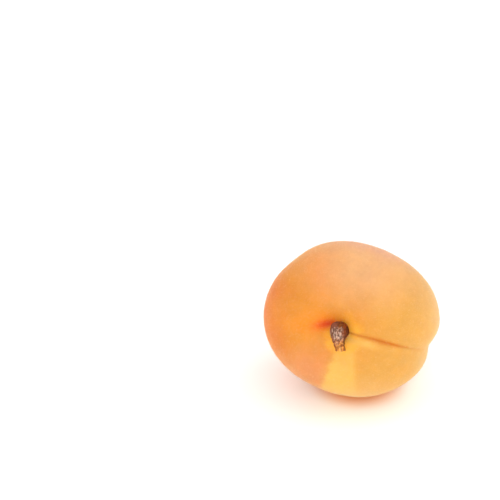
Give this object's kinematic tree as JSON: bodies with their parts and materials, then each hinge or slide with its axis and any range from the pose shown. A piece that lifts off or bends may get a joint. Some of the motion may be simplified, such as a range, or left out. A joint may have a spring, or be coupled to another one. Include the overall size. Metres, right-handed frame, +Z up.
{
  "type": "apricot",
  "caption": "Whole ripe apricot lying on its cheek: plump, slightly flattened fruit with a groove from the stem hollow to the tip, and a short woody stub of stem.",
  "frame": {"origin": "centre of the bounding box's base, on the surface that the fruit lies on", "axes": "+Z up; the stem end faces -Y, turned a little to -X and tipped up; the groove runs from it round the +X side; the longest extent is along X"},
  "size_m": [0.0496, 0.0478, 0.0433],
  "materials": {
    "skin": "velvety, matt",
    "stem_wood": "rough, dry, wrinkled"
  },
  "bodies": {
    "root": {"fruit": "skin", "stem": "stem_wood"}
  },
  "joints": []
}
